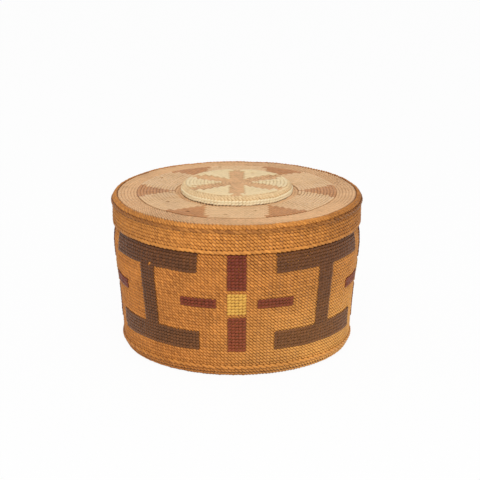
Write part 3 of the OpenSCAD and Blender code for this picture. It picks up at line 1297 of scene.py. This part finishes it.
    def build_pattern(self) -> None:
        """Straw ring with faded red points, straw on the drum's side and petals on the cap."""
        overlay = Overlay({"lid_straw_ring": Strand.STRAW, "lid_red_points": Strand.FADED,
                           "drum_straw_band": Strand.BAND, "cap_straw_petals": Strand.PALE})
        lift = self.thickness / 2 + self.overlay_t - WEAVE.overlay_depth
        for number, row in enumerate(self.top_rows()):
            step = (number - self.ring_gap_rows) // self.rows_a_step
            if 0 <= step < self.ring_steps:
                half = (step + 1) * self.point_step
                node_at = self.stepped(row, half, "lid_red_points", "lid_straw_ring")
                overlay.lay(row, WEAVE.row, lift, node_at)
        for row in self.drum_rows():
            overlay.lay(row, self.drum_rise(), lift, lambda stitch: "drum_straw_band")
        plain_rows = self.cap_rows - self.petal_steps * self.rows_a_step
        for number, row in enumerate(self.cap_round()):
            half = ((number - plain_rows) // self.rows_a_step + 1) * self.petal_step
            node_at = self.stepped(row, half, "cap_straw_petals", None)
            overlay.lay(row, self.cap_rise(), lift, node_at)
        overlay.pieces("lid")

    def build_edge(self) -> None:
        """Rope of slanting strands at the skirt's edge."""
        height = self.edge_top - self.edge_low
        count = round(TURN * self.r / self.edge_pitch)
        row = Row(self.r - self.thickness / 2, self.edge_low + height / 2, UP, count)
        edge = Skein("skirt_edge_strands", roundness=Roundness.STRAND)
        edge.run(row, Lay.EDGING.bead(self.edge_pitch, height, self.thickness / 2))
        # The rope takes the lighter skirt finish rather than the edge finish: painted light against the
        # shade where the skirt's edge overhangs.
        edge.piece(Strand.SKIRT, "lid", "skirt_edge_braid")

    def build_floor(self) -> None:
        """Twined disc that closes the drum from below."""
        low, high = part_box("rattle_floor")
        thickness = high.z - low.z
        middle = low.z + thickness / 2
        rows = ring_rows(Face.DOWN, self.floor_start, high.y, middle, self.floor_rows,
                         self.floor_multiple)
        floor = Skein("rattle_floor_weave", self.floor_jitter)
        floor.twine(rows, high.y / self.floor_rows, thickness)
        floor.knot(self.floor_start, middle, thickness)
        floor.piece(Strand.LINING, "lid", "rattle_floor")

    def build_heart(self) -> None:
        """The fabric's heart from the skirt's edge over the shoulder and the drum to the cap."""
        half = self.thickness / 2
        Heart().build("lid_heart", "lid", [
            (self.r - half, (self.edge_low + self.edge_top) / 2),
            *arc(*self.bend_at(self.r, self.top_z), self.heart_steps),
            (self.drum_r - half, self.top_z - half),
            *arc(*self.bend_at(self.drum_r, self.cap_z), self.heart_steps),
            (self.cap_start, self.cap_z - half),
        ])


@dataclass
class Stones:
    """The loose pebbles in the drum."""

    count: int = 7
    subdivisions: int = 4
    worn: float = 0.12
    lumps: float = 0.9
    apart: float = 7.3

    def build(self) -> None:
        """Makes a water-worn pebble in the place of each plain stone."""
        for number in range(1, self.count + 1):
            name = f"rattle_stone_{number}"
            low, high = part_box(name)
            own = Vector((number * self.apart, 0.0, 0.0))
            bm = bmesh.new()
            bmesh.ops.create_icosphere(bm, subdivisions=self.subdivisions, radius=1.0)
            for vert in bm.verts:
                vert.co *= 1 - self.worn * (0.5 + 0.5 * noise.noise(vert.co * self.lumps + own))
            bmesh.ops.scale(bm, vec=(high - low) / 2, verts=bm.verts)
            bmesh.ops.translate(bm, vec=(low + high) / 2, verts=bm.verts)
            dress(mesh_of(bm, f"pebble_{number}"), PEBBLE, f"stone_{number}", name)


@dataclass
class Studio:
    """Pale floor, soft light and the camera."""

    distance: float = 1.104
    height: float = 0.3951
    pitch: float = 0.2924
    lens: float = 143.4
    sensor: float = 36.0
    axis_px: float = 3.2
    image_px: int = 480
    fill: float = 0.55
    key_watts: float = 16.8
    key_size: float = 0.9
    key_back: float = 1.42
    key_up: float = 1.05
    aim_z: float = 0.05
    floor_half: float = 4.0
    floor_grey: float = 0.92
    floor_white: float = 0.95

    def build(self) -> None:
        """Sets up the camera, the lights and the floor."""
        self.build_camera()
        self.build_world()
        self.build_key()
        self.build_floor()
        bpy.context.scene.view_settings.view_transform = "Standard"

    def build_camera(self) -> None:
        """A long lens, a little above the basket."""
        camera = bpy.data.cameras.new("camera")
        camera.lens = self.lens
        camera.sensor_width = self.sensor
        camera.shift_x = self.axis_px / self.image_px
        eye = put("camera", camera)
        eye.location = (0.0, -self.distance, self.height)
        eye.rotation_euler = (UP - self.pitch, 0.0, 0.0)
        bpy.context.scene.camera = eye

    @staticmethod
    def seen_rays(tree: Tree) -> bpy.types.NodeSocket:
        """Picks the rays that show the ground itself, straight or in a gloss.

        Args:
            tree: The tree that the nodes go into.

        Returns:
            1 for such a ray and 0 for one that carries light to the object.
        """
        path = tree.add("LightPath").outputs
        mirrored = tree.maths("MAXIMUM", path["Is Glossy Ray"], path["Is Transmission Ray"])
        return tree.maths("MAXIMUM", path["Is Camera Ray"], mirrored)

    def build_world(self) -> None:
        """Even white light from all sides, and white behind the object."""
        world = bpy.data.worlds.new("studio")
        bpy.context.scene.world = world
        world.use_nodes = True
        tree = Tree(world.node_tree)
        shine = world.node_tree.nodes["Background"].inputs
        shine["Color"].default_value = WHITE
        beyond_fill = tree.maths("MULTIPLY", self.seen_rays(tree), 1.0 - self.fill)
        tree.feed(shine["Strength"], tree.maths("ADD", beyond_fill, self.fill))

    def build_key(self) -> None:
        """One large soft lamp in front of the basket, above the camera."""
        lamp = bpy.data.lights.new("key", "AREA")
        lamp.energy = self.key_watts
        lamp.size = self.key_size
        key = put("key", lamp)
        key.location = (0.0, -self.key_back, self.key_up)
        aim = Vector((0.0, 0.0, self.aim_z)) - key.location
        key.rotation_euler = aim.to_track_quat("-Z", "Y").to_euler()

    def build_floor(self) -> None:
        """A white floor that keeps a faint shadow."""
        bm = bmesh.new()
        bmesh.ops.create_grid(bm, x_segments=1, y_segments=1, size=self.floor_half)
        mesh = mesh_of(bm, "floor")
        put("floor", mesh)
        made = bpy.data.materials.new("pale_floor")
        made.use_nodes = True
        made.node_tree.nodes.remove(made.node_tree.nodes["Principled BSDF"])
        tree = Tree(made.node_tree)
        white = tree.add("BsdfDiffuse", Color=(self.floor_grey, self.floor_grey, self.floor_grey, 1.0))
        bright = tree.add("Emission", Color=WHITE, Strength=1.0)
        share = tree.maths("MULTIPLY", self.seen_rays(tree), self.floor_white)
        mixed = tree.add("MixShader", Fac=share)
        tree.feed(mixed.inputs[1], white.outputs[0])
        tree.feed(mixed.inputs[2], bright.outputs[0])
        tree.feed(made.node_tree.nodes["Material Output"].inputs["Surface"], mixed.outputs[0])
        mesh.materials.append(made)


def dress_splints() -> None:
    """Gives the splints inside the fabric their grain."""
    for name in ("basket_warps", "lid_warps"):
        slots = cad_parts[name].data.materials
        slots.clear()
        slots.append(SPLINT.material())


def main() -> None:
    """Builds the basket, the lid, the stones and the studio."""
    logging.basicConfig(level=logging.INFO, format="%(name)s: %(message)s")
    for part in (Basket(), Lid(), Stones(), Studio()):
        part.build()
    dress_splints()


if __name__ == "__main__":
    main()
